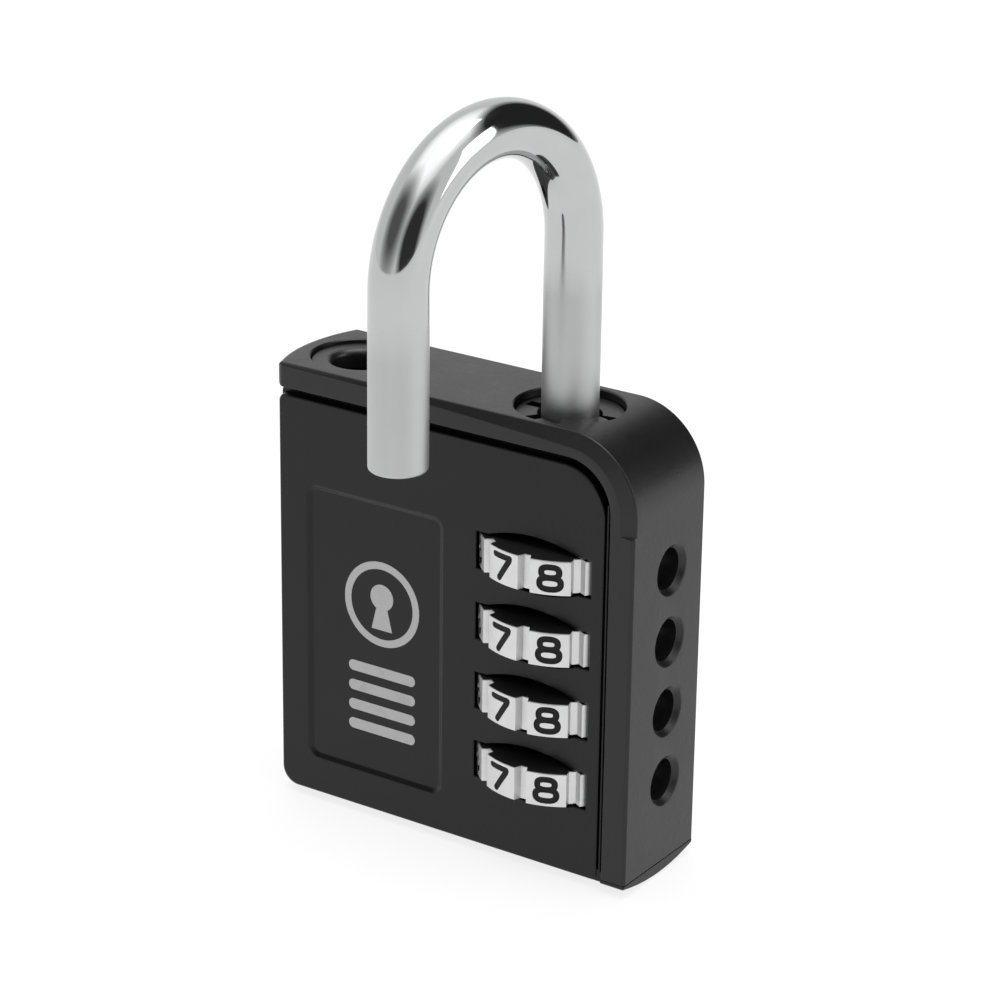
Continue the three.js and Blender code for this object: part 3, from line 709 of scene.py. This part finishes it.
across_bow = Vector((math.cos(SWING), math.sin(SWING), 0))
beside_bow = Vector((-across_bow.y, across_bow.x, 0))


def bar_ring(radius, turn, height=BEND_HEIGHT):
    """A section of the bar, turned round the bend from the long leg (0) to the short leg (pi)."""
    outward = across_bow * math.cos(turn) - Vector((0, 0, math.sin(turn)))
    centre = Vector((AXIS_X, MIDDLE, height + BEND_RADIUS * math.sin(turn)))
    centre += across_bow * BEND_RADIUS * (1 - math.cos(turn))
    turns = [2 * math.pi * k / BAR_SIDES for k in range(BAR_SIDES)]
    offsets = [outward * radius * math.cos(a) + beside_bow * radius * math.sin(a) for a in turns]
    return [at(*(centre + offset)) for offset in offsets]


long_leg = [(BAR_RADIUS - LEG_CHAMFER, LEG_END), (BAR_RADIUS, LEG_END + LEG_CHAMFER)]
long_leg += [(radius, CLIP_GROOVE[0]) for radius in (BAR_RADIUS, CLIP_GROOVE_RADIUS)]
long_leg += [(radius, CLIP_GROOVE[1]) for radius in (CLIP_GROOVE_RADIUS, BAR_RADIUS)]
long_leg += [(BAR_RADIUS, z) for z in LONG_LEG_STATIONS]
bar_rings = [bar_ring(radius, 0, z) for radius, z in long_leg]
bar_rings += [bar_ring(BAR_RADIUS, math.pi * k / BEND_STEPS) for k in range(BEND_STEPS + 1)]
bar_rings += [bar_ring(BAR_RADIUS, math.pi, z) for z in SHORT_LEG_STATIONS]
for a in TIP_ANGLES:
    turn = math.radians(a)
    radius = BAR_RADIUS - TIP_EDGE * (1 - math.sin(turn))
    bar_rings.append(bar_ring(radius, math.pi, TIP_HEIGHT + TIP_EDGE * 0.8 * (1 - math.cos(turn))))
shackle = loft("shackle_bar", bar_rings)
for z in DIAL_HEIGHTS:
    fin = (z + FIN_RISE - FIN_HEIGHT / 2, z + FIN_RISE + FIN_HEIGHT / 2)
    combine(shackle, "UNION", spoke(FIN_ANGLE, (2, FIN_REACH), FIN_WIDTH, fin))
spring_bore = [(SPRING_BORE, LEG_END - PAST), (SPRING_BORE, SPRING_BORE_TOP)]
combine(shackle, "DIFFERENCE", turned("tool", AXIS_X, MIDDLE, spring_bore, 48))

bend_start = at(0, 0, BEND_HEIGHT).z


def polished_chrome(place):
    below = ((bend_start - place.part(2)) * 160).clamped()
    ground = place.noise(scale=900, detail=4, stretch=(1, 1, 0.04))
    haze = place.noise(scale=240, detail=3)
    return {
        "Base Color": haze.mixed((0.53, 0.532, 0.536), (0.49, 0.492, 0.496)),
        "Roughness": 0.05 + haze * 0.03 + below * (0.34 + ground * 0.1),
        "Normal": (ground * below).bump(distance=0.00002, strength=0.12),
    }


chrome = material("polished_chrome", polished_chrome, Metallic=1.0)
finish_piece(shackle, chrome, "shackle", "shackle_chrome", 40, "shackle")

# ---------------------------------------------------------------------------------------------
# Dials: four wheels, each a black core with black ends and a bright plated rim of ten lands. The
# digits are sunk in the lands and filled with black paint; the valleys between give the thumb grip.
# ---------------------------------------------------------------------------------------------
DIAL_RADIUS, DIAL_HEIGHT, RIM_WALL = 9.2, 3.8, 1.5
LAND_ANGLE, FLOOR_ANGLE, VALLEY_DEPTH = 27, 5, 0.8
EIGHT_ANGLE, DIGIT_STEP = 22, 36
DIGIT_HEIGHT, DIGIT_WIDTH, STROKE, DIGIT_DEPTH = 2.45, 2.3, 0.68, 0.22
CORE_BORE, CORE_LAP = 4.95, 0.1
RIM_EDGE = 0.13
MASK_PROUD, MASK_THICKNESS = 0.02, 0.05


def dial_radius(degrees):
    """The rim's radius at an angle from the middle of a land."""
    away = abs((degrees + DIGIT_STEP / 2) % DIGIT_STEP - DIGIT_STEP / 2)
    slope = (away - LAND_ANGLE / 2) / (DIGIT_STEP / 2 - FLOOR_ANGLE / 2 - LAND_ANGLE / 2)
    return DIAL_RADIUS - VALLEY_DEPTH * min(max(slope, 0), 1)


def rim_angles():
    """Angles round the rim: close together at the corners of the lands, spaced elsewhere."""
    land, floor_from = LAND_ANGLE / 2, (DIGIT_STEP - FLOOR_ANGLE) / 2
    on_land = (-land, -12.9, -9, -4.5, 0, 4.5, 9, 12.9, land)
    in_valley = (13.9, 15.1, floor_from, 18, DIGIT_STEP - floor_from, 20.9, 22.1)
    return [DIGIT_STEP * k + a for k in range(10) for a in on_land + in_valley]


def rim_ring_at(inset, z):
    """The rim's outline at one height, less an inset."""
    ring = []
    for degrees in rim_angles():
        radius = dial_radius(degrees) - inset
        turn = math.radians(degrees + EIGHT_ANGLE - 90)
        ring.append(at(AXIS_X + radius * math.cos(turn), MIDDLE + radius * math.sin(turn), z))
    return ring


# Strokes of the digits in a box from -1 to 1. An arc gives its centre, its half sizes and its angles.
DIGIT_STROKES = {
    0: [[("arc", 0, 0.5, 1, 0.5, 90, 450)]],
    1: [[(-0.55, 0.62), (0.1, 1.0), (0.1, -1.0)]],
    2: [[("arc", 0, 0.45, 0.9, 0.55, 160, -30), (-0.95, -1.0), (0.95, -1.0)]],
    3: [[("arc", 0, 0.5, 0.85, 0.5, 150, -90), (-0.25, 0)],
        [(-0.25, 0), ("arc", 0, -0.5, 0.95, 0.5, 90, -150)]],
    4: [[(0.45, -1.0), (0.45, 1.0)], [(0.4, 0.9), (-0.95, -0.42), (1.0, -0.42)]],
    5: [[(0.85, 1.0), (-0.75, 1.0), (-0.85, 0.12), ("arc", 0, -0.38, 0.95, 0.62, 120, -150)]],
    6: [[(0.45, 1.0), ("arc", 0, -0.4, 0.95, 0.6, 160, 520)]],
    7: [[(-0.95, 1.0), (0.95, 1.0), (0.9, 0.8), (-0.35, -1.0)]],
    8: [[("arc", 0, 0.52, 0.82, 0.48, 90, 450)], [("arc", 0, -0.48, 0.98, 0.52, 90, 450)]],
    9: [[(-0.45, -1.0), ("arc", 0, 0.4, 0.95, 0.6, -20, 340)]],
}


def stroke_points(parts):
    """A stroke's middle line in millimetres, with its arcs and long straights in short steps."""
    corners = []
    for part in parts:
        if part[0] != "arc":
            corners.append(Vector(part))
            continue
        _, x, y, wide, tall, start, end = part
        steps = round(abs(end - start) / 15)
        for k in range(steps + 1):
            a = math.radians(start + (end - start) * k / steps)
            square = [math.copysign(abs(v) ** 0.75, v) for v in (math.cos(a), math.sin(a))]
            corners.append(Vector((x + wide * square[0], y + tall * square[1])))
    corners = [Vector((p.x * DIGIT_WIDTH / 2, p.y * DIGIT_HEIGHT / 2)) for p in corners]
    points = corners[:1]
    for start, end in zip(corners, corners[1:]):
        steps = max(1, round((end - start).length / 0.4))
        points += [start.lerp(end, (k + 1) / steps) for k in range(steps)]
    return points


def digit_solid(digit, radii):
    """All strokes of a digit as one body, wrapped round its land between two radii."""
    outline, discs = [], []
    for parts in DIGIT_STROKES[digit]:
        points = stroke_points(parts)
        for start, end in zip(points, points[1:]):
            along = math.atan2(end.y - start.y, end.x - start.x)
            rim_of = []
            for centre, first in ((end, -90), (start, 90)):
                for k in range(7):
                    a = along + math.radians(first + 30 * k)
                    rim_of.append(centre + Vector((math.cos(a), math.sin(a))) * (STROKE / 2))
            discs.append(list(range(len(outline), len(outline) + len(rim_of))))
            outline += rim_of
    flat, _, cells, _, _, inside = delaunay_2d_cdt(outline, [], discs, 0, 1e-4)
    cells = [cell for cell, owners in zip(cells, inside) if owners]
    used = sorted({k for cell in cells for k in cell})
    place = {k: n for n, k in enumerate(used)}
    cells = [[place[k] for k in cell] for cell in cells]
    vertices = []
    for radius in radii:
        for k in used:
            turn = math.radians(EIGHT_ANGLE - 90 + (digit - 8) * DIGIT_STEP) + flat[k].x / DIAL_RADIUS
            x, y = AXIS_X + radius * math.cos(turn), MIDDLE + radius * math.sin(turn)
            vertices.append(at(x, y, TOP_DIAL + flat[k].y))
    sides = {(a, b) for cell in cells for a, b in zip(cell, cell[1:] + cell[:1])}
    count = len(used)
    faces = [tuple(reversed(cell)) for cell in cells] + [tuple(count + k for k in cell) for cell in cells]
    faces += [(a, b, count + b, count + a) for a, b in sides if (b, a) not in sides]
    return piece_from("digit", vertices, faces)


top, soft = DIAL_HEIGHT / 2, RIM_EDGE * 0.3
levels = [(RIM_EDGE, -top), (soft, soft - top), (0, RIM_EDGE - top),
          (0, top - RIM_EDGE), (soft, top - soft), (RIM_EDGE, top)]
rim = loft("dial_rim", [rim_ring_at(inset, TOP_DIAL + z) for inset, z in levels])
inner = DIAL_RADIUS - RIM_WALL
through = (TOP_DIAL - 3, TOP_DIAL + 3)
combine(rim, "DIFFERENCE", turned("tool", AXIS_X, MIDDLE, [(inner, z) for z in through], 96))
fill = None
for digit in DIGIT_STROKES:
    combine(rim, "DIFFERENCE", digit_solid(digit, (DIAL_RADIUS - DIGIT_DEPTH, DIAL_RADIUS + 0.3)))
    ink = digit_solid(digit, (DIAL_RADIUS - DIGIT_DEPTH - 0.1, DIAL_RADIUS - DIGIT_DEPTH + 0.08))
    fill = combine(fill, "UNION", ink) if fill else ink
proud = top + MASK_PROUD
core = turned("dial_core", AXIS_X, MIDDLE, [(inner + CORE_LAP, TOP_DIAL + z) for z in (-proud, proud)], 96)
for low in (-proud, proud - MASK_THICKNESS):
    heights = (TOP_DIAL + low, TOP_DIAL + low + MASK_THICKNESS)
    combine(core, "UNION", loft("mask", [rim_ring_at(RIM_EDGE - MASK_PROUD, z) for z in heights]))
combine(core, "DIFFERENCE", turned("tool", AXIS_X, MIDDLE, [(CORE_BORE, z) for z in through], 64))


def plated_dial(place):
    grain = place.noise(scale=1800, detail=4)
    cloud = place.noise(scale=500, detail=4)
    return {
        "Base Color": cloud.mixed((0.74, 0.74, 0.74), (0.64, 0.64, 0.645)),
        "Roughness": 0.3 + grain * 0.16,
        "Normal": (grain + cloud).bump(distance=0.00004, strength=0.3),
    }


def sunk_paint(place):
    blot = place.noise(scale=1600, detail=4)
    return {
        "Base Color": blot.mixed((0.008, 0.008, 0.008), (0.022, 0.022, 0.022)),
        "Roughness": 0.35 + blot * 0.3,
        "Normal": blot.bump(distance=0.00003, strength=0.4),
    }


dial_plating = material("dial_plating", plated_dial, Metallic=0.9)
digit_paint = material("digit_paint", sunk_paint, Specular_IOR_Level=0.15)
core_black = material("dial_core_black", sunk_paint, Specular_IOR_Level=0.15)
for i, z in enumerate(DIAL_HEIGHTS):
    body = f"dial_{i + 1}_wheel"
    for source, suffix, surface, slot_name, nodes in (
            (rim, "rim", dial_plating, "dial_metal", (f"dial_{i + 1}",)),
            (core, "core", core_black, "cover_gloss", ()),
            (fill, "digits", digit_paint, "cover_gloss", ())):
        copy = source.copy()
        copy.data = source.data.copy()
        copy.data.transform(Matrix.Translation((0, 0, (z - TOP_DIAL) * MM)))
        copy.name = f"dial_{i + 1}_{suffix}"
        bpy.context.scene.collection.objects.link(copy)
        finish_piece(copy, surface, body, slot_name, 32, *nodes)
for source in (rim, core, fill):
    bpy.data.objects.remove(source)

# ---------------------------------------------------------------------------------------------
# Inside: brass clutch sleeves coloured near black as painted shade, a turned brass spring seat and cap, and
# the clip, springs, pins and rivets of bright steel. Only slivers of them show past the dials.
# ---------------------------------------------------------------------------------------------


def turned_brass(place):
    cloud = place.noise(scale=600, detail=4)
    return {
        "Base Color": cloud.mixed((0.62, 0.45, 0.20), (0.46, 0.32, 0.13)),
        "Roughness": 0.28 + place.noise(scale=2400, detail=3, stretch=(1, 1, 8)) * 0.2,
        "Normal": place.noise(scale=1500, detail=3, stretch=(1, 1, 6)).bump(distance=0.00002, strength=0.3),
    }


def spring_steel(place):
    cloud = place.noise(scale=700, detail=4)
    return {
        "Base Color": cloud.mixed((0.48, 0.48, 0.50), (0.32, 0.32, 0.34)),
        "Roughness": 0.24 + cloud * 0.2,
        "Normal": place.noise(scale=2600, detail=3).bump(distance=0.00002, strength=0.3),
    }


# Brass for the clutch sleeves, coloured near black: painted shade for the slivers seen deep inside past the
# dials.
def brass_painted_shade(place):
    worn = place.noise(scale=900, detail=4)
    return {
        "Base Color": worn.mixed((0.010, 0.009, 0.008), (0.030, 0.026, 0.020)),
        "Roughness": 0.4 + worn * 0.2,
    }


brass = material("turned_brass", turned_brass, Metallic=1.0)
painted_shade_brass = material("brass_painted_shade", brass_painted_shade, Metallic=1.0)
steel = material("spring_steel", spring_steel, Metallic=1.0)
for name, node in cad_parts.items():
    if node.hide_render:
        continue
    node.data.materials.clear()
    # The clutch sleeves get the brass coloured near black as painted shade.
    if name.startswith("clutch"):
        node.data.materials.append(painted_shade_brass)
    else:
        node.data.materials.append(brass if name in ("spring_cap", "spring_seat") else steel)
